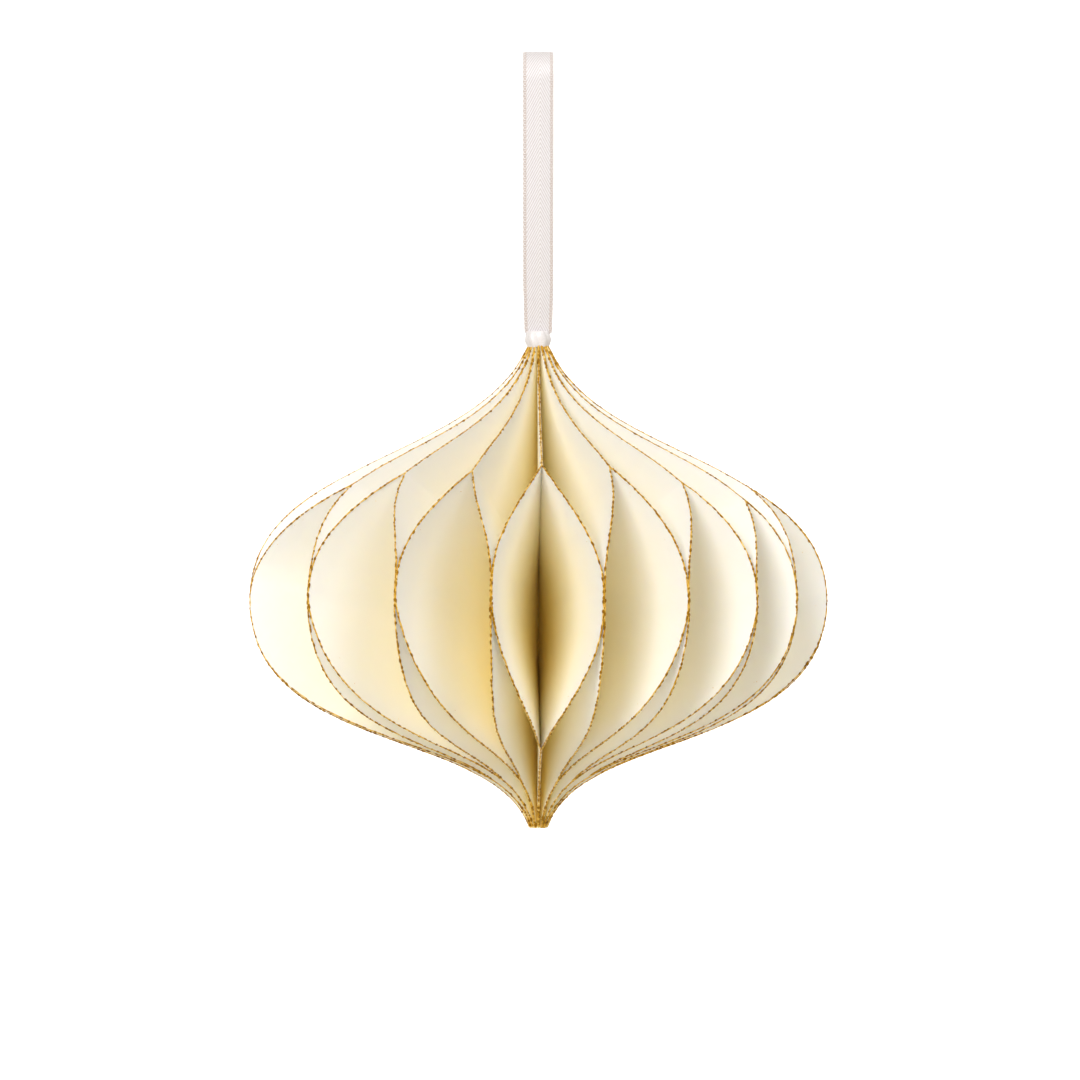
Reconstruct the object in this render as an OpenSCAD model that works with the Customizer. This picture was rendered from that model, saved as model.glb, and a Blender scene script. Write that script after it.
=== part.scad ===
/* [Card leaves] */
// Pairs of leaves round the spine
leaf_pairs = 18; // [12:1:24]
// Thickness of the card
card_t = 0.22; // [0.15:0.01:0.35]
// Room for the glue between neighbours round the spine
spine_play = 0.01; // [0.01:0.01:0.1]
// Radius of the body at its belly
belly_r = 57; // [45:1:75]
// Height of the leaves above the belly
crown_h = 50.6; // [42:0.2:65]
// Depth of the leaves below the belly
foot_h = 45.2; // [38:0.2:60]
// Width of a leaf at its blunt top
crown_w = 0.4; // [0.3:0.1:1.5]
// Width of a leaf at its blunt foot
foot_w = 0.3; // [0.3:0.1:1.5]
// How far the front pair faces to the right of straight ahead
front_turn = 1; // [-10:0.5:10]

/* [Glue lines] */
// Height above the belly where a pair's crown glue line ends
crown_glue = 24; // [15:0.5:34]
// Depth below the belly where a pair's foot glue line starts
foot_glue = 36; // [24:0.5:38]
// The same depth on the front pair
front_foot_glue = 28.5; // [20:0.5:38]
// Height of the glue spot between pairs at the belly
belly_glue = 5; // [2:0.5:10]
// Drop of that spot's middle below the belly
belly_glue_drop = 1; // [0:0.1:2]

/* [Hanging ribbon] */
// Width of the ribbon
ribbon_w = 6; // [4.5:0.5:10]
// Width of the ribbon where it enters the knot
ribbon_foot_w = 5; // [3.5:0.1:6]
// Height over the knot in which the ribbon narrows
ribbon_draw_h = 22; // [5:1:30]
// Thickness of the ribbon
ribbon_t = 0.3; // [0.2:0.05:0.5]
// Height of the loop's opening over the knot
loop_h = 55; // [35:1:60]
// Inside radius of the bend that goes over the hook
eye_r = 5.5; // [4.5:0.5:9]
// Width of the knot
knot_w = 4.8; // [4.2:0.1:8]
// Height of the knot
knot_h = 2.9; // [2:0.1:5]
// Radius of the knot's bulging side
knot_bulge_r = 2; // [1.8:0.1:2.2]
// Length of the ribbon's ends glued down inside the spine
tail_l = 18; // [6:1:30]
// Room between those ends and the leaves
tail_play = 0.1; // [0.05:0.05:0.3]

/* [Hidden] */
// Turn of each pair off even spacing, in degrees, from the front pair round by the right
PAIR_TURN = [0, -0.5, -2.5, -5.5, -11, -5, -3, -1, 0, 0, 0, -2, -6, -10, -13, 4, 0, 1];
// Turn of each belly glue spot off even spacing, from the one right of the front pair
BELLY_TURN = [1, -2.5, -6, -12.5, -6, -3, -1, 0, 0, 0, 0, -4, -8, -12, -15, 0.5, 2, 0.5];
// Rise of each crown glue line's end over crown_glue
CROWN_RISE = [1, 1, -2, -5, -2, 0, 0, 0, 0, 0, 0, 0, 0, 0, 0, -2, 0, 0];

// How late a leaf turns away from its belly glue spot: above it, below it on the front pair,
// and below it on the other pairs' leaves nearer to the front and farther from it
upper_delay = 1.7;
front_delay = 1.8;
near_delay = 3.2;
far_delay = 1.2;
// Pair that spreads widest, at the left edge of the front view: both its leaves turn late
wide_pair = 15;

// Rows of facets down a leaf: crown glue line, upper flare, half the belly glue spot,
// lower flare, foot glue line
crown_rows = 8;
upper_rows = 11;
belly_rows = 1;
lower_rows = 11;
foot_rows = 5;
// Flats round the loop's bend
bend_steps = 40;

leaf_count = 2 * leaf_pairs;
pitch = 360 / leaf_pairs;
most_turn = max([for (a = concat(PAIR_TURN, BELLY_TURN)) abs(a)]);

// Leaves standing side by side close the ring round the spine
spine_r = (card_t + spine_play) / sin(pitch / 2) / cos(most_turn);
spot_top = belly_glue / 2 - belly_glue_drop;
spot_foot = -belly_glue / 2 - belly_glue_drop;

// Heights from the hanging point, which is the inside of the loop's bend
knot_top_z = -loop_h;
crown_z = knot_top_z - knot_h;
belly_z = crown_z - crown_h;

// Rim of a leaf as two Bezier curves of [radius, height over the belly]
CROWN_RIM = [
    [spine_r + crown_w, crown_h],
    [0.22 * belly_r, 0.526 * crown_h],
    [belly_r, 0.569 * crown_h],
    [belly_r, 0],
];
FOOT_RIM = [
    [belly_r, 0],
    [belly_r, -0.681 * foot_h],
    [0.15 * belly_r, -0.557 * foot_h],
    [spine_r + foot_w, -foot_h],
];

// Triangles between one row of a leaf's corners and the next. In a row, 0 and 1 lie at the
// spine and 2 and 3 at the rim, and 0 and 2 are on the face turned to the leaf's own pair.
BAND = [[0, 2, 6], [0, 6, 4], [2, 3, 7], [2, 7, 6], [3, 1, 7], [1, 5, 7], [1, 0, 4], [1, 4, 5]];
TOP_END = [[0, 1, 3], [0, 3, 2]];
FOOT_END = [[0, 2, 3], [0, 3, 1]];

function leaf_name(i) = str("leaf_", i < 10 ? "0" : "", i);
function heading(a) = [sin(a), -cos(a), 0];
function sideways(a) = [cos(a), sin(a), 0];
function at(list, i) = list[(i + len(list)) % len(list)];
function bezier(c, t) =
    pow(1 - t, 3) * c[0] + 3 * t * pow(1 - t, 2) * c[1] + 3 * t * t * (1 - t) * c[2] + pow(t, 3) * c[3];

// Share of a rim curve at which it comes down to a height, found by halving
function share_at(curve, z, low = 0, high = 1, steps = 24) =
    let (middle = (low + high) / 2)
    steps == 0 ? middle
    : bezier(curve, middle)[1] > z ? share_at(curve, z, middle, high, steps - 1)
    : share_at(curve, z, low, middle, steps - 1);

// Rows of a rim curve from one share of it to just before another
function rim_rows(curve, from, to, rows) =
    [for (i = [0:rows - 1]) bezier(curve, from + (to - from) * i / rows)];

function leaf_rows(crown_end, foot_start) =
    let (
        t_crown = share_at(CROWN_RIM, crown_end),
        t_spot_top = share_at(CROWN_RIM, spot_top),
        t_spot_foot = share_at(FOOT_RIM, spot_foot),
        t_foot = share_at(FOOT_RIM, -foot_start)
    )
    concat(
        rim_rows(CROWN_RIM, 0, t_crown, crown_rows),
        rim_rows(CROWN_RIM, t_crown, t_spot_top, upper_rows),
        rim_rows(CROWN_RIM, t_spot_top, 1, belly_rows),
        rim_rows(FOOT_RIM, 0, t_spot_foot, belly_rows),
        rim_rows(FOOT_RIM, t_spot_foot, t_foot, lower_rows),
        rim_rows(FOOT_RIM, t_foot, 1, foot_rows),
        [FOOT_RIM[3]]
    );

// 0 where a leaf lies on its own pair's glue line, 1 where it lies on its belly glue spot
function swing(z, crown_end, foot_start, delay) =
    z >= crown_end || z <= -foot_start ? 0
    : z > spot_top ? 1 - pow((z - spot_top) / (crown_end - spot_top), upper_delay)
    : z < spot_foot ? 1 - pow((z - spot_foot) / (-foot_start - spot_foot), delay)
    : 1;

// Place on an upright glue plane that starts at the spine, or beside that plane
function beside_plane(spot, turn, out, aside) =
    spine_r * heading(spot) + out * heading(turn) + aside * sideways(turn);

// One leaf of a pair, on the right where side is 1 and on the left where it is -1. It fills
// the room between its pair's glue plane and the plane shared with the next pair.
module leaf(pair, side) {
    spot = side > 0 ? pair : pair - 1;
    pair_even = front_turn + pair * pitch;
    spot_even = front_turn + (spot + 0.5) * pitch;
    pair_turn = pair_even + at(PAIR_TURN, pair);
    spot_turn = spot_even + at(BELLY_TURN, spot);
    crown_end = crown_glue + at(CROWN_RISE, pair);
    foot_start = pair == 0 ? front_foot_glue : foot_glue;
    front_side = pair <= leaf_pairs / 2 ? -1 : 1;
    turns_late = side == front_side || pair == wide_pair;
    delay = pair == 0 ? front_delay : turns_late ? near_delay : far_delay;
    rows = leaf_rows(crown_end, foot_start);
    points = [
        for (row = rows, out = [0, row[0] - spine_r], skin = [0, 1])
            let (g = swing(row[1], crown_end, foot_start, delay))
            (1 - g) * beside_plane(pair_even, pair_turn, out, side * skin * card_t)
            + g * beside_plane(spot_even, spot_turn, out, side * (skin - 1) * card_t)
            + [0, 0, belly_z + row[1]]
    ];
    last = 4 * (len(rows) - 1);
    faces = concat(
        TOP_END,
        [for (first = [0:4:last - 4], f = BAND) f + first * [1, 1, 1]],
        [for (f = FOOT_END) f + last * [1, 1, 1]]
    );
    color("ivory")
        polyhedron(points, [for (f = faces) side > 0 ? f : [f[2], f[1], f[0]]]);
}

// Side view of the loop: a bend over the hook and two legs that meet in the knot
module loop_side() {
    leg_drop = loop_h - eye_r + knot_h / 2;
    foot_y = ribbon_t;
    bend_r = eye_r + ribbon_t / 2;
    lean = asin(bend_r / norm([foot_y, leg_drop])) - atan(foot_y / leg_drop);
    turn = (180 + 2 * lean) / bend_steps;
    half_foot = ribbon_t / 2 * [cos(lean), -sin(lean)];
    right_foot = [foot_y, -leg_drop];
    left_foot = [-foot_y, -leg_drop];
    bend = [for (i = [0:bend_steps]) [cos(i * turn - lean), sin(i * turn - lean)]];
    polygon(concat(
        [right_foot + half_foot],
        (eye_r + ribbon_t) * bend,
        [left_foot + [-half_foot[0], half_foot[1]], left_foot - [-half_foot[0], half_foot[1]]],
        [for (i = [bend_steps:-1:0]) eye_r * bend[i]],
        [right_foot - half_foot]
    ));
}

// Front view of the loop: full width above, drawn in towards the knot
module loop_front() {
    foot_z = knot_top_z - knot_h;
    draw_z = knot_top_z + ribbon_draw_h;
    polygon([
        [-ribbon_foot_w / 2, foot_z],
        [ribbon_foot_w / 2, foot_z],
        [ribbon_foot_w / 2, knot_top_z],
        [ribbon_w / 2, draw_z],
        [ribbon_w / 2, ribbon_w],
        [-ribbon_w / 2, ribbon_w],
        [-ribbon_w / 2, draw_z],
        [-ribbon_foot_w / 2, knot_top_z],
    ]);
}

module ribbon_loop() {
    intersection() {
        translate([-ribbon_w, 0, -eye_r])
            rotate([90, 0, 90])
                linear_extrude(2 * ribbon_w)
                    loop_side();
        translate([0, 2 * eye_r, 0])
            rotate([90, 0, 0])
                linear_extrude(4 * eye_r)
                    loop_front();
    }
}

module knot() {
    translate([0, 0, crown_z])
        rotate_extrude($fn = 96)
            intersection() {
                square([knot_w / 2, knot_h]);
                translate([knot_w / 2 - knot_bulge_r, knot_h / 2])
                    circle(knot_bulge_r, $fn = 96);
            }
}

module tail() {
    translate([0, 0, crown_z - tail_l])
        cylinder(h = tail_l + knot_h / 2, r = spine_r - tail_play, $fn = 96);
}

module hanger_ribbon() {
    color("linen") {
        ribbon_loop();
        knot();
        tail();
    }
}

for (i = [1:leaf_count])
    leaf(floor((i - 1) / 2), i % 2 == 0 ? 1 : -1);
hanger_ribbon();
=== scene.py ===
# %% [markdown]
# A hanging paper ornament: card leaves stand round a spine and are glued to one another in
# lines, so that they open into cells like a honeycomb. Gold glitter runs along every rim, and
# a narrow satin ribbon is knotted on the crown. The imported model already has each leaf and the
# ribbon in place. This script reads their shapes from it and dresses them, one step a cell.

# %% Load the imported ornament
import math
import random

import bpy
import numpy as np
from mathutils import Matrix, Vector, noise


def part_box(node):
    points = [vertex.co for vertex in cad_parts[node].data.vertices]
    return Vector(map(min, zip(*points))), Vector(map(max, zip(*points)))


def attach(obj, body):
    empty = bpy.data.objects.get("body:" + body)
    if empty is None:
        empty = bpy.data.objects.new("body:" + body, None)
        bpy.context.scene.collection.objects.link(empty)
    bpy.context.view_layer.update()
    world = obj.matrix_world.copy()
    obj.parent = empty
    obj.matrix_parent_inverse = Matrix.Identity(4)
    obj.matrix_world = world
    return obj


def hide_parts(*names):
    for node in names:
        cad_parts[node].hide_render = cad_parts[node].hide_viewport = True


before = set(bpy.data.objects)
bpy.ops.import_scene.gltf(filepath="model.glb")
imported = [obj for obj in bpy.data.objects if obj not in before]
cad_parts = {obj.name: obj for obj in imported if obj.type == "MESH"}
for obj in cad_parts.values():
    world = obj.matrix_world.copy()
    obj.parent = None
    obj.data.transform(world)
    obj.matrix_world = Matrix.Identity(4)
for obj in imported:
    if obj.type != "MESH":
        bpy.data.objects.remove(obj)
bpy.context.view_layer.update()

MM = 0.001
leaf_names = sorted(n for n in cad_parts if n.startswith("leaf_"))
crown_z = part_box("leaf_01")[1].z
foot_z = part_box("leaf_01")[0].z
print(f"{len(leaf_names)} leaves, {(crown_z - foot_z) / MM:.1f} mm from foot to crown")

# %% [markdown]
# The photograph was taken level with the belly, from straight in front, with a long lens: the
# leaves' rims at the front are only a little larger than those at the sides. A camera that
# looks level keeps upright lines upright. The belly sits below the picture's middle, and lens
# shift moves it there without tilting the camera.

# %% Camera
PHOTO_SIDE_PX = 1080
MM_PER_PX = 0.1986
SPINE_X_PX = 538.3
BELLY_Y_PX = 600
CAMERA_DISTANCE = 570 * MM
BELLY_BELOW_CROWN = 50.6 * MM
SENSOR_MM = 36

belly_z = crown_z - BELLY_BELOW_CROWN
lens = bpy.data.cameras.new("camera")
lens.sensor_width = SENSOR_MM
lens.lens = SENSOR_MM * CAMERA_DISTANCE / (PHOTO_SIDE_PX * MM_PER_PX * MM)
lens.shift_x = (PHOTO_SIDE_PX / 2 - SPINE_X_PX) / PHOTO_SIDE_PX
lens.shift_y = (BELLY_Y_PX - PHOTO_SIDE_PX / 2) / PHOTO_SIDE_PX
lens.clip_start, lens.clip_end = 0.02, 30
camera = bpy.data.objects.new("camera", lens)
camera.location = (0, -CAMERA_DISTANCE, belly_z)
camera.rotation_euler = (math.radians(90), 0, 0)
bpy.context.scene.collection.objects.link(camera)
bpy.context.scene.camera = camera
print(f"lens {lens.lens:.1f} mm, level with z = {belly_z / MM:.1f} mm")

# %% [markdown]
# Every finish here is a small tree of shader nodes. A helper that adds a node, sets its inputs
# and links it keeps each of them short and readable. Inputs that are the same all over a
# surface are set straight on the Principled shader.

# %% Helpers for finishes
def new_finish(name, **inputs):
    """A material with a Principled shader, its plain inputs set by name."""
    finish = bpy.data.materials.new(name)
    finish.use_nodes = True
    shader = finish.node_tree.nodes["Principled BSDF"]
    for key, value in inputs.items():
        shader.inputs[key.replace("_", " ")].default_value = value
    return finish, shader


def add_node(finish, kind, settings=None, **inputs):
    """A new node. A number or colour is set on the input, and a socket is linked to it."""
    node = finish.node_tree.nodes.new(kind)
    for key, value in (settings or {}).items():
        setattr(node, key, value)
    for key, value in inputs.items():
        place = int(key[1:]) if key[0] == "i" and key[1:].isdigit() else key.replace("_", " ")
        socket = node.inputs[place]
        if isinstance(value, bpy.types.NodeSocket):
            finish.node_tree.links.new(value, socket)
        else:
            socket.default_value = value
    return node


def math_node(finish, operation, *values):
    node = add_node(finish, "ShaderNodeMath", {"operation": operation})
    for socket, value in zip(node.inputs, values):
        if isinstance(value, bpy.types.NodeSocket):
            finish.node_tree.links.new(value, socket)
        else:
            socket.default_value = value
    return node.outputs[0]


def ramp(finish, factor, stops):
    """A colour ramp with stops of (position, (red, green, blue))."""
    node = add_node(finish, "ShaderNodeValToRGB", Fac=factor)
    while len(node.color_ramp.elements) < len(stops):
        node.color_ramp.elements.new(0.5)
    for element, (position, colour) in zip(node.color_ramp.elements, stops):
        element.position = position
        element.color = (*colour, 1)
    return node.outputs["Color"]


def speckle(finish, place, size, detail=2):
    """Soft noise whose features are about this size, in metres."""
    return add_node(
        finish, "ShaderNodeTexNoise", Vector=place, Scale=1 / size, Detail=detail
    ).outputs["Fac"]


def bump(finish, height, depth):
    """A bump of this depth in metres where the height goes from 0 to 1."""
    return add_node(
        finish, "ShaderNodeBump", Height=height, Distance=depth, Strength=1
    ).outputs["Normal"]


def link(finish, output, shader, name):
    finish.node_tree.links.new(output, shader.inputs[name])


# %% [markdown]
# The leaves are cut from an ivory card with a soft pearl finish. It is smooth, with faint
# fibres under the fingers and cloudy patches that only show in raking light. The deep gold in
# the cells isn't a printed colour: light bounces from leaf to leaf and takes up more of the
# card's cream each time. Painted shade helps that along: the card's colour is made deeper gold
# towards the spine. The leaf meshes below carry an attribute of painted shade that goes from 0
# at the rim to about 1 at the spine, and grows towards the foot, where the shade is deeper too.

# %% Card finish
PAINTED_SHADE_ATTRIBUTE = "painted_cell_shade"
# The card's own colour at the rim, then painted shade: deeper cream and gold towards the spine.
CARD_AND_PAINTED_SHADE_TINTS = [
    (0.0, (0.943, 0.93, 0.90)),
    (0.3, (0.975, 0.923, 0.785)),
    (0.62, (0.99, 0.915, 0.67)),
    (0.97, (0.99, 0.84, 0.38)),
]


def card_finish():
    finish, shader = new_finish(
        "pearl_card",
        Roughness=0.55,
        Specular_IOR_Level=0.25,
        Sheen_Weight=0.08,
        Sheen_Roughness=0.4,
        Subsurface_Weight=0.3,
        Subsurface_Scale=0.25 * MM,
        Subsurface_Radius=(1.0, 0.82, 0.55),
    )
    place = add_node(finish, "ShaderNodeTexCoord").outputs["Object"]
    clouds = speckle(finish, place, 6 * MM, 3)
    fibres = speckle(finish, place, 0.35 * MM, 4)
    # The attribute drives painted shade: the card's colour goes deeper gold where shade falls in the
    # cells.
    depth = add_node(finish, "ShaderNodeAttribute", {"attribute_name": PAINTED_SHADE_ATTRIBUTE}).outputs["Fac"]
    shade = math_node(finish, "ADD", depth, math_node(finish, "MULTIPLY_ADD", clouds, 0.1, -0.05))
    colour = ramp(finish, shade, CARD_AND_PAINTED_SHADE_TINTS)
    link(finish, colour, shader, "Base Color")
    relief = math_node(finish, "MULTIPLY_ADD", clouds, 0.5, fibres)
    link(finish, bump(finish, relief, 0.012 * MM), shader, "Normal")
    return finish


pearl_card = card_finish()
print("card finish:", len(pearl_card.node_tree.nodes), "nodes")

# %% [markdown]
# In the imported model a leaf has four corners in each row: two at the spine and two at the rim,
# one on each side of the card. Sorting the corners by height gives the rows back, and the
# direction from spine to rim tells left from right. Reading them from the model, and not
# drawing the leaf anew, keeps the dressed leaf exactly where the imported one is.

# %% Read a leaf's rows of corners
CORNERS_IN_A_ROW = 4


def leaf_rows(name):
    """Rows of (spine left, spine right, rim left, rim right), from the crown down."""
    corners = {tuple(v.co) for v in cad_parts[name].data.vertices}
    corners = np.array(sorted(corners, key=lambda c: -c[2]))
    rows = corners.reshape(-1, CORNERS_IN_A_ROW, 3)
    ordered = []
    for row in rows:
        row = row[np.argsort(np.hypot(row[:, 0], row[:, 1]))]
        spine, rim = row[:2], row[2:]
        out = rim.mean(0) - spine.mean(0)
        left = np.array([out[1], -out[0], 0])
        spine = sorted(spine, key=lambda c: -(c @ left))
        rim = sorted(rim, key=lambda c: -(c @ left))
        ordered.append([*spine, *rim])
    return np.array(ordered)


rows_of = {name: leaf_rows(name) for name in leaf_names}
print("rows in a leaf:", len(rows_of["leaf_01"]))

# %% [markdown]
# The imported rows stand 1 to 4 mm apart, which is plain in a close view. A smooth curve through
# them, three steps to a row, gives the even sweep of bent card. The curve is broken where the
# crown and foot glue lines end, because there the real leaf leaves its partner at an angle.
#
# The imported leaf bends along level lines. The photograph shows the bottom of the front cell
# running down and inward from where the crown glue ends at the rim, so the real card bends
# along lines that fan out from there. Shifting the rows' spine ends in height gives that fan,
# and a row keeps its glue lines, so the leaves still touch where they did.
#
# The photograph also has the glue spots at the belly a little higher, most of all on the left.
# There a row takes its direction from a row a little below it. Both leaves of a spot do the
# same, so they still meet.

# %% Smooth curve through the rows
CROWN_GLUE_ROWS = 8
FOOT_GLUE_ROWS = 5
STEPS_TO_A_ROW = 3
CROWN_FAN_DROP = 20 * MM
FOOT_FAN_RISE = 12 * MM
BELLY_LIFT_LEFT = 3.6 * MM
BELLY_LIFT_RIGHT = 1.2 * MM


def smooth_stretch(rows, steps):
    """Catmull-Rom curve through rows of corners, without its last row."""
    padded = np.concatenate([[2 * rows[0] - rows[1]], rows, [2 * rows[-1] - rows[-2]]])
    made = []
    for a, b, c, d in zip(padded, padded[1:], padded[2:], padded[3:]):
        square, cube = 2 * a - 5 * b + 4 * c - d, 3 * b - a - 3 * c + d
        for t in np.arange(steps) / steps:
            made.append(0.5 * (2 * b + (c - a) * t + square * t**2 + cube * t**3))
    return made


def lift_belly(made, lift, glue_ends):
    """Directions of the rows near the belly moved up by this height. Each row keeps its width."""
    heights = made[:, 2, 2]
    foot_start, crown_end = glue_ends
    middle = (foot_start + crown_end) / 2
    half = (crown_end - foot_start) / 2
    taken = heights - lift * np.clip(1 - ((heights - middle) / half) ** 2, 0, 1)
    lifted = made.copy()
    for spine, rim in ((0, 2), (1, 3)):
        reach = made[:, rim, :2] - made[:, spine, :2]
        width = np.linalg.norm(reach, axis=1, keepdims=True)
        for axis in (0, 1):
            lifted[:, spine, axis] = np.interp(-taken, -heights, made[:, spine, axis])
            lifted[:, rim, axis] = np.interp(-taken, -heights, (reach / width)[:, axis])
        way = lifted[:, rim, :2] / np.linalg.norm(lifted[:, rim, :2], axis=1, keepdims=True)
        lifted[:, rim, :2] = lifted[:, spine, :2] + way * width
    return lifted


def smooth_leaf(name, rows):
    crown_end, foot_start = CROWN_GLUE_ROWS, len(rows) - 1 - FOOT_GLUE_ROWS
    breaks = [0, crown_end, foot_start, len(rows) - 1]
    made = [
        row
        for first, last in zip(breaks, breaks[1:])
        for row in smooth_stretch(rows[first : last + 1], STEPS_TO_A_ROW)
    ]
    made = np.array([*made, rows[-1]])
    right = 2 <= int(name[-2:]) <= len(leaf_names) // 2 + 1
    lift = BELLY_LIFT_RIGHT if right else BELLY_LIFT_LEFT
    made = lift_belly(made, lift, rows[[foot_start, crown_end], 2, 2])
    rim_heights = rows[[-1, foot_start, crown_end, 0], 2, 2]
    spine_heights = rim_heights + np.array([0, FOOT_FAN_RISE, -CROWN_FAN_DROP, 0])
    made[:, :2, 2] = np.interp(made[:, 2, 2], rim_heights, spine_heights)[:, None]
    return made


smooth_of = {name: smooth_leaf(name, rows) for name, rows in rows_of.items()}
print("rows in a smooth leaf:", len(smooth_of["leaf_01"]))

# %% [markdown]
# A leaf is one sheet, so its mesh is two skins of straight lines from spine to rim, closed by
# strips along the rim, the spine and both ends. The straight lines are how card bends: it
# curves one way only. One column stands close to the rim, where the finish changes.

# %% Build the card leaves
COLUMNS = 9
RIM_MARGIN = 0.4 * MM
# How much painted shade the card gets: at the spine, in wide rows, below the belly and at the foot.
PAINTED_SHADE_AT_SPINE = 0.9
PAINTED_SHADE_BY_WIDTH = 0.1
PAINTED_SHADE_BY_DROP = 0.6
PAINTED_SHADE_AT_FOOT = 0.9


def skin(spine, rim):
    """Points of one side of the card, a row of columns for each row, and their painted shade."""
    width = np.linalg.norm(rim - spine, axis=1)
    margin = np.minimum(RIM_MARGIN, 0.4 * width)
    shares = np.linspace(0, 1, COLUMNS)[None, :] * (1 - margin / width)[:, None]
    shares = np.concatenate([shares, np.ones((len(spine), 1))], axis=1)
    points = spine[:, None] + (rim - spine)[:, None] * shares[:, :, None]
    below_belly = np.clip((belly_z - spine[:, 2]) / (belly_z - foot_z), 0, 1)
    # Painted shade: deeper towards the spine, in wide rows and below the belly, and more at the foot.
    painted_shade_weight = PAINTED_SHADE_AT_SPINE + PAINTED_SHADE_BY_WIDTH * width / width.max() + PAINTED_SHADE_BY_DROP * below_belly
    return points, (1 - shares) * painted_shade_weight[:, None] + PAINTED_SHADE_AT_FOOT * below_belly[:, None] ** 2


def closed_sheet_faces(rows, columns):
    """Faces of two skins, the left one's points first, and the strips that close them."""
    skin_size = rows * columns
    grid = np.arange(skin_size).reshape(rows, columns)
    left, right = grid, grid + skin_size
    faces = []
    for j in range(rows - 1):
        for k in range(columns - 1):
            faces.append((left[j, k], left[j, k + 1], left[j + 1, k + 1], left[j + 1, k]))
            faces.append((right[j, k], right[j + 1, k], right[j + 1, k + 1], right[j, k + 1]))
        faces.append((left[j, -1], right[j, -1], right[j + 1, -1], left[j + 1, -1]))
        faces.append((left[j, 0], left[j + 1, 0], right[j + 1, 0], right[j, 0]))
    for k in range(columns - 1):
        faces.append((left[0, k], right[0, k], right[0, k + 1], left[0, k + 1]))
        faces.append((left[-1, k], left[-1, k + 1], right[-1, k + 1], right[-1, k]))
    return [tuple(int(i) for i in f) for f in faces]


def new_piece(name, points, faces, finishes, sharp_angle=40):
    """A smooth mesh piece that rides with the ornament and takes its finish from a slot."""
    mesh = bpy.data.meshes.new(name)
    mesh.from_pydata([tuple(p) for p in points], [], faces)
    mesh.polygons.foreach_set("use_smooth", [True] * len(mesh.polygons))
    mesh.set_sharp_from_angle(angle=math.radians(sharp_angle))
    for finish in finishes:
        mesh.materials.append(finish)
    piece = bpy.data.objects.new(name, mesh)
    bpy.context.scene.collection.objects.link(piece)
    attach(piece, "root")
    return piece


def build_leaf(name):
    rows = smooth_of[name]
    left, left_painted_shade = skin(rows[:, 0], rows[:, 2])
    right, right_painted_shade = skin(rows[:, 1], rows[:, 3])
    points = np.concatenate([left.reshape(-1, 3), right.reshape(-1, 3)])
    faces = closed_sheet_faces(*left.shape[:2])
    leaf = new_piece(f"card_{name}", points, faces, [pearl_card])
    # The painted shade goes on the leaf as a point attribute.
    depth = leaf.data.attributes.new(PAINTED_SHADE_ATTRIBUTE, "FLOAT", "POINT")
    depth.data.foreach_set("value", np.concatenate([left_painted_shade.ravel(), right_painted_shade.ravel()]))
    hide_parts(name)
    return leaf


leaves = [build_leaf(name) for name in leaf_names]
print("faces in a leaf:", len(leaves[0].data.polygons))

# %% [markdown]
# Glitter is glued along each rim. From a hand's width away it reads as a fine gold line, paler
# and deeper by turns, broken every millimetre or two by a brown dash. A smooth tube in one
# colour would look like wire. Two finishes with noise in their colour make the gold and the
# dashes. They have little gloss, because a glossy line turns white against the bright room.

# %% Glitter finishes
WHITE_GOLD = (0.90, 0.67, 0.26)
PALE_GOLD = (0.78, 0.48, 0.085)
DEEP_GOLD = (0.55, 0.28, 0.02)
BROWN_GOLD = (0.42, 0.205, 0.012)
DARK_BROWN = (0.27, 0.12, 0.007)


def glitter_finish(name, stops, roughness):
    finish, shader = new_finish(name, Metallic=0.12, Roughness=roughness, Specular_IOR_Level=0.05)
    place = add_node(finish, "ShaderNodeTexCoord").outputs["Object"]
    link(finish, ramp(finish, speckle(finish, place, 1.3 * MM, 2), stops), shader, "Base Color")
    grains = add_node(
        finish, "ShaderNodeTexVoronoi", Vector=place, Scale=1 / (0.16 * MM)
    ).outputs["Distance"]
    link(finish, bump(finish, grains, 0.04 * MM), shader, "Normal")
    return finish


gold_glitter = glitter_finish(
    "gold_glitter", [(0.34, WHITE_GOLD), (0.46, PALE_GOLD), (0.62, DEEP_GOLD)], 0.4
)
brown_glitter = glitter_finish("brown_glitter", [(0.4, BROWN_GOLD), (0.6, DARK_BROWN)], 0.45)
print("glitter finishes:", gold_glitter.name, brown_glitter.name)

# %% [markdown]
# The gold line is a bead along the middle of the card's cut edge. Points an even step apart
# carry a ring each, whose width, height and side wander with smooth noise, so that a little
# white card shows beside it now and then. Where a pair is glued, both leaves' beads run on
# the glue line together, and look like one. The glitter lies thicker towards crown and foot,
# where the brush passed over many rims at once.

# %% Points along a rim
BEAD_STEP = 0.45 * MM
BEAD_HALF_WIDTH = 0.15 * MM
BEAD_HALF_HEIGHT = 0.13 * MM
BEAD_SIDES = 6
END_FADE = 9 * MM


def unit(vectors):
    return vectors / np.maximum(np.linalg.norm(vectors, axis=-1, keepdims=True), 1e-12)


def glued_to_partner(count):
    """1 for the rows on the crown and foot glue lines, 0 for the others, with a row's fade."""
    row = np.arange(count) / STEPS_TO_A_ROW
    last = row[-1]
    off_crown = np.clip(row - CROWN_GLUE_ROWS, 0, 1)
    off_foot = np.clip(last - FOOT_GLUE_ROWS - row, 0, 1)
    return 1 - np.minimum(off_crown, off_foot)


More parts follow.
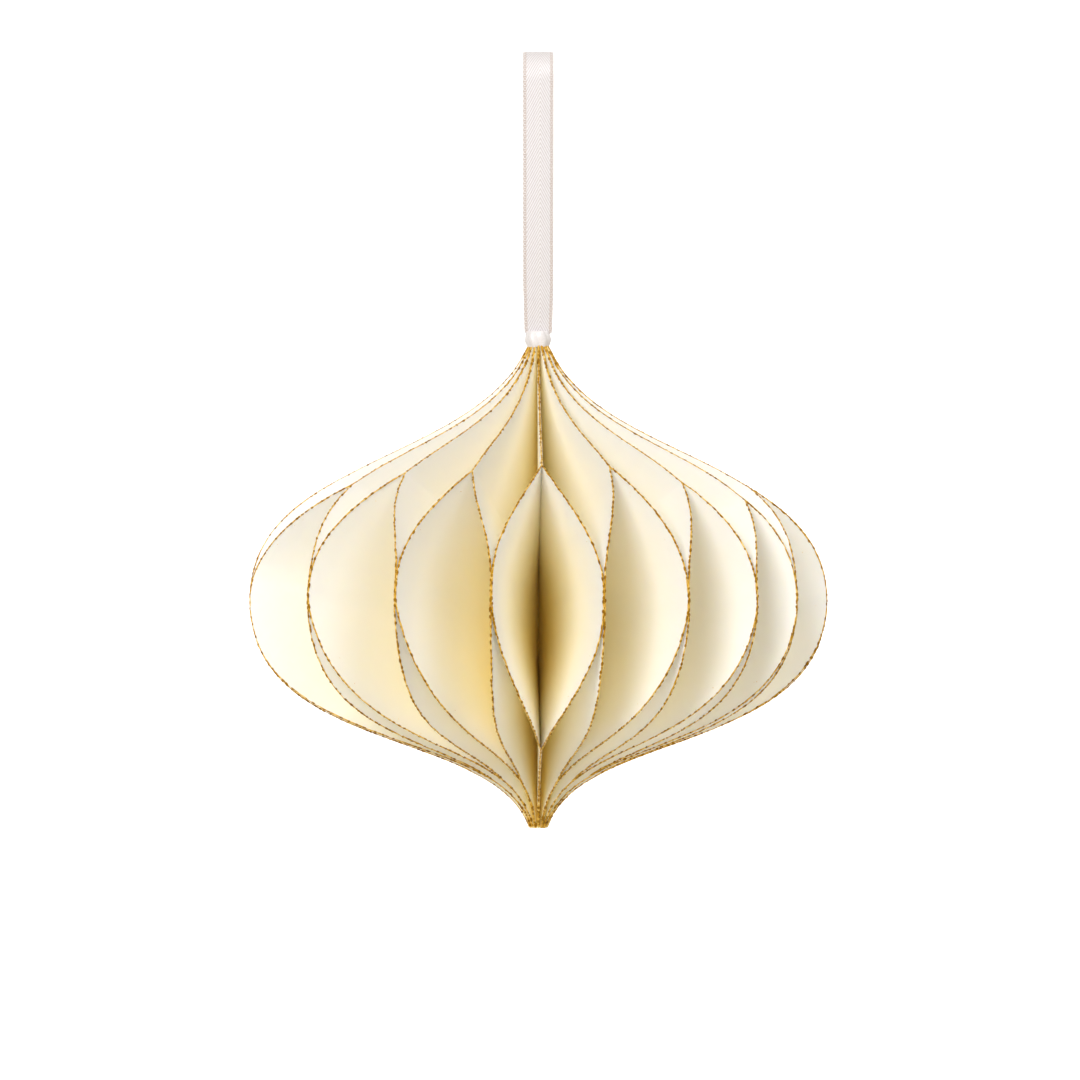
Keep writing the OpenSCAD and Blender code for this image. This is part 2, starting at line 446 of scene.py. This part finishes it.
def rim_line(name):
    """Points along a rim with directions along, across and outward, and how far each is glued."""
    rows = smooth_of[name]
    right_of_pair = int(name[-2:]) % 2 == 0
    glued = glued_to_partner(len(rows))
    to_partner = (rows[:, 2] - rows[:, 3]) / 2 * (1 if right_of_pair else -1)
    middle = (rows[:, 2] + rows[:, 3]) / 2 + to_partner * glued[:, None]
    lengths = np.concatenate([[0], np.cumsum(np.linalg.norm(np.diff(middle, axis=0), axis=1))])
    places = np.arange(0, lengths[-1], BEAD_STEP)

    def even(values):
        return np.stack([np.interp(places, lengths, values[:, i]) for i in range(3)], axis=1)

    points = even(middle)
    across = unit(even(rows[:, 2] - rows[:, 3]))
    along = unit(np.gradient(points, axis=0))
    outward = unit(np.cross(along, across))
    outward *= np.sign(np.sum(outward * points * [1, 1, 0], axis=1, keepdims=True))
    return points, along, across, outward, np.interp(places, lengths, glued)


def tube_faces(rings, sides, first=0):
    """Faces of a tube of rings, its two ends closed."""
    grid = (np.arange(rings * sides).reshape(rings, sides) + first).tolist()
    faces = []
    for here, following in zip(grid, grid[1:]):
        for k in range(sides):
            beside = (k + 1) % sides
            faces.append((here[k], here[beside], following[beside], following[k]))
    return [*faces, tuple(grid[0][::-1]), tuple(grid[-1])]


def crowding(line, place):
    """1 at the crown and the foot, fading to 0 along the rim."""
    return math.exp(-min(place, len(line[0]) * BEAD_STEP - place) / END_FADE)


def bead(line, shift):
    """Rings of the gold line. shift moves the noise, so that two beads on one line differ."""
    rings = []
    for j, (p, _, w, o, _) in enumerate(zip(*line)):
        swell = 1 + 0.4 * noise.noise(Vector(p) / (0.8 * MM) + Vector((shift, 0, 0)))
        swell *= 1 + 0.6 * crowding(line, j * BEAD_STEP)
        side = 0.12 * MM * noise.noise(Vector(p) / (1.7 * MM) + Vector((0, shift, 0)))
        for k in range(BEAD_SIDES):
            a = 2 * math.pi * (k + 0.5) / BEAD_SIDES
            sideways = swell * BEAD_HALF_WIDTH * math.cos(a) + side
            rings.append(p + w * sideways + o * swell * BEAD_HALF_HEIGHT * math.sin(a))
    return rings, tube_faces(len(line[0]), BEAD_SIDES)


print("points along a rim:", len(rim_line("leaf_01")[0]))


# %% [markdown]
# Brown dashes sit on the bead at uneven gaps, often in twos, each a short faceted lump. Small
# gold grains lie between them, and a few have strayed onto the card beside the rim. All that
# is random comes from one seeded source, so each run gives the same ornament.

# %% Dashes and grains
DASH_GAP = (1.0 * MM, 2.0 * MM)
TWIN_GAP = (0.7 * MM, 1.0 * MM)
TWIN_SHARE = 0.25
DASH_LENGTH = (0.5 * MM, 1.05 * MM)
DASH_RADIUS = (0.18 * MM, 0.26 * MM)
DASH_SIDES = 5
GRAIN_GAP = (0.3 * MM, 1.0 * MM)
GRAIN_SIZE = (0.05 * MM, 0.09 * MM)
STRAY_GRAINS = 10
GRAIN_FACES = [
    (0, 2, 4), (2, 1, 4), (1, 3, 4), (3, 0, 4),
    (2, 0, 5), (1, 2, 5), (3, 1, 5), (0, 3, 5),
]
chance = random.Random(7)


def dash(line, place):
    """A faceted lump of glitter at a length along the rim."""
    points, along, across, outward, _ = line
    half = chance.uniform(*DASH_LENGTH) / 2
    radius = chance.uniform(*DASH_RADIUS) * (1 + 0.4 * crowding(line, place))
    side = chance.uniform(-0.07, 0.07) * MM
    made = []
    for share, size in ((-1, 0.6), (-0.35, 1), (0.4, 0.95), (1, 0.55)):
        at = min(max((place + share * half) / BEAD_STEP, 0), len(points) - 1.001)
        j, part = int(at), at % 1
        middle = points[j] * (1 - part) + points[j + 1] * part
        for k in range(DASH_SIDES):
            a = 2 * math.pi * k / DASH_SIDES
            r = radius * size * chance.uniform(0.8, 1.15)
            sideways = across[j] * (r * math.cos(a) + side)
            made.append(middle + sideways + outward[j] * r * 0.85 * math.sin(a))
    return made


def dashes_on(line, skip_glued):
    made = []
    place = chance.uniform(*DASH_GAP)
    while place < (len(line[0]) - 2) * BEAD_STEP:
        if not (skip_glued and line[4][int(place / BEAD_STEP)] > 0.5):
            made.append(dash(line, place))
        gap = chance.uniform(*(TWIN_GAP if chance.random() < TWIN_SHARE else DASH_GAP))
        place += gap * (1 - 0.45 * crowding(line, place))
    return made


def grain(place, along, across, outward, size):
    """An uneven eight-sided grain."""
    ends = [along, -along, across, -across, outward, -outward]
    return [place + e * size * chance.uniform(0.7, 1.3) for e in ends]


def grains_on(line):
    points, along, across, outward, _ = line
    made = []
    place = chance.uniform(*GRAIN_GAP)
    while place < (len(points) - 2) * BEAD_STEP:
        j = int(place / BEAD_STEP)
        side = across[j] * chance.uniform(-0.16, 0.16) * MM
        lift = outward[j] * chance.uniform(0.02, 0.12) * MM
        size = chance.uniform(*GRAIN_SIZE)
        made.append(grain(points[j] + side + lift, along[j], across[j], outward[j], size))
        place += chance.uniform(*GRAIN_GAP)
    for _ in range(STRAY_GRAINS):
        j = chance.randrange(len(points) // 5, len(points) * 4 // 5)
        face = across[j] * chance.choice((-1, 1)) * 0.13 * MM
        inward = -outward[j] * chance.uniform(0.3, 2.5) * MM
        size = chance.uniform(*GRAIN_SIZE)
        made.append(grain(points[j] + face + inward, along[j], across[j], outward[j], size))
    return made


print("dashes from", *(round(d / MM, 2) for d in DASH_LENGTH), "mm long")

# %% [markdown]
# Each rim's bead, grains and dashes make one mesh with two finishes. Where two leaves are
# glued, only the right one of the pair carries dashes, or the line would be twice as dark.

# %% Glitter on every rim
def build_glitter(name):
    number = int(name[-2:])
    line = rim_line(name)
    points, faces = bead(line, 3.7 * number)
    for g in grains_on(line):
        faces.extend(tuple(len(points) + i for i in f) for f in GRAIN_FACES)
        points.extend(g)
    gold_faces = len(faces)
    for d in dashes_on(line, skip_glued=number % 2 == 1):
        faces.extend(tube_faces(len(d) // DASH_SIDES, DASH_SIDES, len(points)))
        points.extend(d)
    finishes = [gold_glitter, brown_glitter]
    rim = new_piece(f"glitter_{name}", points, faces, finishes, sharp_angle=30)
    kinds = [int(i >= gold_faces) for i in range(len(faces))]
    rim.data.polygons.foreach_set("material_index", kinds)
    return rim


rims = [build_glitter(name) for name in leaf_names]
print("faces in a glitter rim:", len(rims[0].data.polygons))

# %% [markdown]
# The hanging loop is a satin ribbon with a herringbone weave and a looped selvedge. It goes up
# from the knot, over the hook and down again, drawn in a little towards the knot. Its route is
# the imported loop's: two straight legs that lean together and an arc over the hook.

# %% Route of the ribbon
RIBBON_WIDTH = 6 * MM
RIBBON_FOOT_WIDTH = 5.5 * MM
RIBBON_THICKNESS = 0.3 * MM
DRAW_HEIGHT = 9 * MM
LOOP_HEIGHT = 55 * MM
EYE_RADIUS = 5.5 * MM
KNOT_HEIGHT = 2.9 * MM
GATHER_START = 0.3 * MM
GATHER_HEIGHT = 0.7 * MM
RIBBON_GATHER = 1.9 * MM
RIBBON_STEP = 0.4 * MM

knot_top = -LOOP_HEIGHT
bend_radius = EYE_RADIUS + RIBBON_THICKNESS / 2
leg_drop = LOOP_HEIGHT - EYE_RADIUS + KNOT_HEIGHT / 2
lean = math.asin(bend_radius / math.hypot(RIBBON_THICKNESS, leg_drop))
lean -= math.atan(RIBBON_THICKNESS / leg_drop)
leg_length = (leg_drop - bend_radius * math.sin(lean)) / math.cos(lean)
arc_length = bend_radius * (math.pi + 2 * lean)
ribbon_length = 2 * leg_length + arc_length


def ribbon_place(s):
    """Point on the ribbon's middle line, a length s from its front foot, and the way outward."""
    if s < leg_length or s > leg_length + arc_length:
        front = s < leg_length
        left = s if front else ribbon_length - s
        side = -1 if front else 1
        y = side * (RIBBON_THICKNESS + left * math.sin(lean))
        z = left * math.cos(lean) - EYE_RADIUS - leg_drop
        return Vector((0, y, z)), Vector((0, side * math.cos(lean), -math.sin(lean)))
    angle = -lean + (s - leg_length) / bend_radius
    outward = Vector((0, -math.cos(angle), math.sin(angle)))
    return Vector((0, 0, -EYE_RADIUS)) + outward * bend_radius, outward


def ribbon_half_width(z):
    drawn = min(1, max(0, (z - knot_top) / DRAW_HEIGHT))
    gathered = min(1, max(0, (knot_top - GATHER_START - z) / GATHER_HEIGHT))
    width = RIBBON_FOOT_WIDTH + (RIBBON_WIDTH - RIBBON_FOOT_WIDTH) * drawn
    return (width - RIBBON_GATHER * gathered) / 2


print(f"ribbon {ribbon_length / MM:.1f} mm from foot to foot")

# %% [markdown]
# Up close the ribbon has chevrons that point up, two pixels apart in the photograph, and along
# each edge a row of tiny loops. The chevrons come from the finish: a wave over the distance
# along the ribbon plus the distance from its middle. The mesh carries both distances as its
# UV map, in millimetres.

# %% Ribbon finishes
CHEVRON_SPACING = 0.42
CHEVRON_SLOPE = math.radians(62)
CHEVRON_TIP = 0.4
RIBBON_GROUND = (0.82, 0.80, 0.83)
RIBBON_LINE = (0.63, 0.58, 0.59)
RIBBON_EDGE = (0.84, 0.815, 0.81)
RIBBON_GAP = (0.56, 0.475, 0.445)


def satin_finish():
    finish, shader = new_finish("ribbon_satin", Roughness=0.42, Sheen_Weight=0.3, Sheen_Roughness=0.35)
    map_place = add_node(finish, "ShaderNodeUVMap", {"uv_map": "ribbon_map"}).outputs["UV"]
    split = add_node(finish, "ShaderNodeSeparateXYZ", Vector=map_place)
    from_middle = math_node(finish, "ABSOLUTE", math_node(finish, "ADD", split.outputs["X"], -CHEVRON_TIP))
    rise = math_node(finish, "MULTIPLY_ADD", from_middle, math.tan(CHEVRON_SLOPE), split.outputs["Y"])
    turn = math_node(finish, "MULTIPLY", rise, 2 * math.pi * math.cos(CHEVRON_SLOPE) / CHEVRON_SPACING)
    wave = math_node(finish, "MULTIPLY_ADD", math_node(finish, "SINE", turn), 0.5, 0.5)
    place = add_node(finish, "ShaderNodeTexCoord").outputs["Object"]
    uneven = math_node(finish, "MULTIPLY_ADD", speckle(finish, place, 0.5 * MM, 3), 0.5, -0.25)
    tone = math_node(finish, "ADD", wave, uneven)
    link(finish, ramp(finish, tone, [(0.1, RIBBON_LINE), (0.6, RIBBON_GROUND)]), shader, "Base Color")
    link(finish, bump(finish, wave, 0.03 * MM), shader, "Normal")
    return finish


def plain_satin(name, colour, second, roughness):
    finish, shader = new_finish(name, Roughness=roughness, Sheen_Weight=0.25, Sheen_Roughness=0.4)
    place = add_node(finish, "ShaderNodeTexCoord").outputs["Object"]
    threads = speckle(finish, place, 0.25 * MM, 3)
    link(finish, ramp(finish, threads, [(0.3, second), (0.7, colour)]), shader, "Base Color")
    link(finish, bump(finish, threads, 0.02 * MM), shader, "Normal")
    return finish


ribbon_satin = satin_finish()
selvedge_thread = plain_satin("selvedge_thread", RIBBON_EDGE, RIBBON_GROUND, 0.5)
selvedge_ground = plain_satin("selvedge_ground", RIBBON_GAP, (0.61, 0.53, 0.50), 0.6)
knot_satin = plain_satin("knot_satin", (0.87, 0.845, 0.865), (0.78, 0.745, 0.755), 0.27)
print("ribbon finishes:", ribbon_satin.name, selvedge_thread.name, selvedge_ground.name)

# %% [markdown]
# The band is a thin section carried along the route, woven in the middle and duller at the
# selvedge. The selvedge loops are small rings of thread that stand along each edge. They are
# real meshes, because the photograph shows light between them.

# %% Build the hanging ribbon
SELVEDGE = 0.65 * MM
SELVEDGE_STRIPS = (0, 5, 7, 12)
EDGE_STRIPS = (6, 13)
LOOP_PITCH = 0.95 * MM
LOOP_INSET = 0.03 * MM
LOOP_RADII = (0.26 * MM, 0.34 * MM)
LOOP_THREAD = 0.10 * MM


def ribbon_band():
    """The woven band: rings of points round its section, with their map places."""
    count = round(ribbon_length / RIBBON_STEP)
    points, places = [], []
    for j in range(count + 1):
        s = ribbon_length * j / count
        middle, outward = ribbon_place(s)
        half = ribbon_half_width(middle.z)
        along = min(s, ribbon_length - s) / MM
        body = half - SELVEDGE
        across = [-half, -body, -body / 2, 0, body / 2, body, half]
        thin = [0.3, 1, 1, 1, 1, 1, 0.3]
        for side in (1, -1):
            for x, t in list(zip(across, thin))[::side]:
                points.append(middle + Vector((x, 0, 0)) + outward * side * t * RIBBON_THICKNESS / 2)
                places.append((x / MM, along))
    return points, places, count + 1


def ring(centre, across, along, outward, radii, thread, turns=10, sides=5):
    """A closed loop of thread, flat in the ribbon's plane."""
    points = []
    for j in range(turns):
        a = 2 * math.pi * j / turns
        way = across * math.cos(a) * radii[0] + along * math.sin(a) * radii[1]
        out = way.normalized()
        for k in range(sides):
            b = 2 * math.pi * k / sides
            off = out * math.cos(b) * thread + outward * math.sin(b) * thread * 1.7
            points.append(centre + way + off)
    faces = []
    for j in range(turns):
        here, following = j * sides, (j + 1) % turns * sides
        for k in range(sides):
            beside = (k + 1) % sides
            faces.append((here + k, following + k, following + beside, here + beside))
    return points, faces


def build_ribbon():
    points, places, rings = ribbon_band()
    sides = len(points) // rings
    faces = tube_faces(rings, sides)
    section = [1 if k in SELVEDGE_STRIPS else 2 if k in EDGE_STRIPS else 0 for k in range(sides)]
    kinds = section * (rings - 1) + [0, 0]
    for edge in (-1, 1):
        count = round(ribbon_length / LOOP_PITCH)
        for j in range(count):
            s = ribbon_length * (j + 0.5) / count
            middle, outward = ribbon_place(s)
            ahead = ribbon_place(min(s + 0.1 * MM, ribbon_length))[0]
            way = (ahead - middle).normalized()
            reach = ribbon_half_width(middle.z) - SELVEDGE / 2 - LOOP_INSET
            centre = middle + Vector((edge * reach, 0, 0))
            first = len(points)
            loop_points, loop_faces = ring(
                centre, Vector((1, 0, 0)), way, outward, LOOP_RADII, LOOP_THREAD
            )
            points.extend(loop_points)
            places.extend([(0, 0)] * len(loop_points))
            faces.extend(tuple(first + i for i in f) for f in loop_faces)
            kinds.extend([2] * len(loop_faces))
    finishes = [ribbon_satin, selvedge_ground, selvedge_thread]
    ribbon = new_piece("satin_ribbon", points, faces, finishes, sharp_angle=50)
    ribbon.data.polygons.foreach_set("material_index", kinds)
    ribbon_map = ribbon.data.uv_layers.new(name="ribbon_map")
    for corner in ribbon.data.loops:
        ribbon_map.data[corner.index].uv = places[corner.vertex_index]
    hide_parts("hanger_ribbon")
    return ribbon


ribbon = build_ribbon()
print("faces in the ribbon:", len(ribbon.data.polygons))

# %% [markdown]
# The knot is the same ribbon wound once round the leaves' crown bundle and pulled tight. It
# reads as a small soft pillow: a notch under the loop, a bulge, and a taper down to the leaves,
# with folds that leave a bright lobe on the left, a small one on the right and a dull hollow
# between. One mesh in polar form takes all of that, with the folds as bumps of its radius.

# %% Build the knot
KNOT_MIDDLE = -0.1 * MM
KNOT_HALF_WIDTH = 2.62 * MM
KNOT_HALF_DEPTH = 2.2 * MM
KNOT_ROUND = 80
KNOT_PROFILE = [
    # drop below the ribbon's lip in millimetres, share of the width, share of the depth
    (-0.5, 0.30, 0.30), (-0.22, 0.62, 0.60), (-0.16, 0.80, 0.78), (-0.35, 0.88, 0.88),
    (-0.7, 0.90, 0.95), (-1.1, 0.955, 1.0), (-1.6, 1.0, 1.03), (-2.0, 1.0, 1.04),
    (-2.4, 0.96, 1.04), (-2.8, 0.89, 1.03), (-3.2, 0.81, 1.0), (-3.5, 0.74, 0.97),
    (-3.58, 0.64, 0.85), (-3.4, 0.5, 0.65),
]
KNOT_FOLDS = [
    # middle and spread in degrees, rise as a share of the radius
    (-122, 20, 0.07), (-64, 14, 0.055), (-92, 13, -0.08), (-143, 6, -0.05), (-44, 7, -0.05),
    (-20, 18, 0.03), (60, 25, 0.05), (95, 12, -0.06), (125, 24, 0.05),
]


def knot_radius(angle, drop):
    """Share of the knot's size at an angle in degrees and a drop in millimetres, with its folds."""
    share = 1.0
    for middle, spread, rise in KNOT_FOLDS:
        off = (angle - middle + 7 * drop + 190) % 360 - 180
        share += rise * math.exp(-((off / spread) ** 2))
    return share


def build_knot():
    points = []
    for drop, wide, deep in KNOT_PROFILE:
        for j in range(KNOT_ROUND):
            angle = 360 * j / KNOT_ROUND
            fold = knot_radius(angle, drop) if wide > 0.55 else 1
            a = math.radians(angle)
            wave = 0.09 * MM * math.sin(4 * a + 1) * (drop < -3)
            x = KNOT_MIDDLE + KNOT_HALF_WIDTH * wide * fold * math.cos(a)
            y = KNOT_HALF_DEPTH * deep * fold * math.sin(a)
            points.append((x, y, knot_top + drop * MM + wave))
    faces = [tuple(f[::-1]) for f in tube_faces(len(KNOT_PROFILE), KNOT_ROUND)]
    knot = new_piece("ribbon_knot", points, faces, [knot_satin], sharp_angle=70)
    soften = knot.modifiers.new("soften", "SUBSURF")
    soften.levels = soften.render_levels = 1
    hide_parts("hanger_ribbon")
    return knot


knot = build_knot()
print("faces in the knot:", len(knot.data.polygons))

# %% [markdown]
# The photograph is a bright studio shot, white all round. A pale floor far below runs up into a
# pale wall in one sweep, so no edge shows behind the ornament. Both glow as surfaces do that
# have their own lamps: the wall most, so that it comes out white, and the floor a little.

# %% Floor and wall in one sweep
FLOOR_DROP = 0.75
WALL_DISTANCE = 2.2
SWEEP_RADIUS = 0.9
ROOM_HALF_WIDTH = 5
WALL_TOP = 3
GLOW_RISES_FROM = 0.9
GLOW_RISES_TO = 1.7
WALL_GLOW = 0.8
FLOOR_GLOW = 0.22


def build_stage():
    profile = [(-4, -FLOOR_DROP)]
    for j in range(17):
        a = math.pi / 2 * j / 16
        profile.append(
            (
                WALL_DISTANCE - SWEEP_RADIUS + SWEEP_RADIUS * math.sin(a),
                -FLOOR_DROP + SWEEP_RADIUS * (1 - math.cos(a)),
            )
        )
    profile.append((WALL_DISTANCE, WALL_TOP))
    points = [(x, y, z) for y, z in profile for x in (-ROOM_HALF_WIDTH, ROOM_HALF_WIDTH)]
    faces = [(2 * j, 2 * j + 1, 2 * j + 3, 2 * j + 2) for j in range(len(profile) - 1)]
    mesh = bpy.data.meshes.new("studio_sweep")
    mesh.from_pydata(points, [], faces)
    mesh.polygons.foreach_set("use_smooth", [True] * len(faces))
    finish, shader = new_finish(
        "studio_white", Base_Color=(0.85, 0.85, 0.85, 1), Roughness=0.9, Emission_Color=(1, 1, 1, 1)
    )
    place = add_node(finish, "ShaderNodeTexCoord").outputs["Object"]
    back = add_node(finish, "ShaderNodeSeparateXYZ", Vector=place).outputs["Y"]
    glow = add_node(
        finish,
        "ShaderNodeMapRange",
        {"clamp": True},
        Value=back,
        i1=GLOW_RISES_FROM,
        i2=GLOW_RISES_TO,
        i3=FLOOR_GLOW,
        i4=WALL_GLOW,
    )
    link(finish, glow.outputs["Result"], shader, "Emission Strength")
    mesh.materials.append(finish)
    sweep = bpy.data.objects.new("studio_sweep", mesh)
    bpy.context.scene.collection.objects.link(sweep)
    return sweep


sweep = build_stage()
print("faces in the sweep:", len(sweep.data.polygons))

# %% [markdown]
# The shadows inside the cells tell where the lights were. A large soft lamp stood high in front,
# a little to the left: it reaches deep into the cells on the left, and leaves those on the
# right in shade but for their rims. A weaker one stood high on the right. The warm pale room
# fills the rest. Light bounces many times between the leaves, so the renderer follows more
# bounces.

# %% Light
SKY_STRENGTH = 0.275
SKY_TINT = (1, 0.89, 0.68, 1)
LAMPS = [
    # name, degrees to the right of the camera, degrees up, metres away, size, watts
    ("key_lamp", -23, 28, 1.6, 0.8, 17),
    ("fill_lamp", 38, 50, 1.6, 0.8, 8.5),
]


def place_lamp(name, right, up, distance, size, watts):
    lamp_data = bpy.data.lights.new(name, "AREA")
    lamp_data.shape = "DISK"
    lamp_data.size = size
    lamp_data.energy = watts
    azimuth, height = math.radians(right), math.radians(up)
    aim = Vector((0, 0, belly_z))
    level = Vector((math.sin(azimuth), -math.cos(azimuth), 0))
    way = level * math.cos(height) + Vector((0, 0, math.sin(height)))
    lamp = bpy.data.objects.new(name, lamp_data)
    lamp.location = aim + way * distance
    lamp.rotation_euler = way.to_track_quat("Z", "Y").to_euler()
    bpy.context.scene.collection.objects.link(lamp)


def light_the_studio():
    world = bpy.data.worlds.new("studio_sky")
    world.use_nodes = True
    sky = world.node_tree.nodes["Background"]
    sky.inputs["Color"].default_value = SKY_TINT
    sky.inputs["Strength"].default_value = SKY_STRENGTH
    bpy.context.scene.world = world
    for lamp in LAMPS:
        place_lamp(*lamp)


light_the_studio()
print("lamps:", *(name for name, *_ in LAMPS))
scene = bpy.context.scene
scene.view_settings.view_transform = "Standard"
scene.cycles.max_bounces = 16
scene.cycles.diffuse_bounces = 8
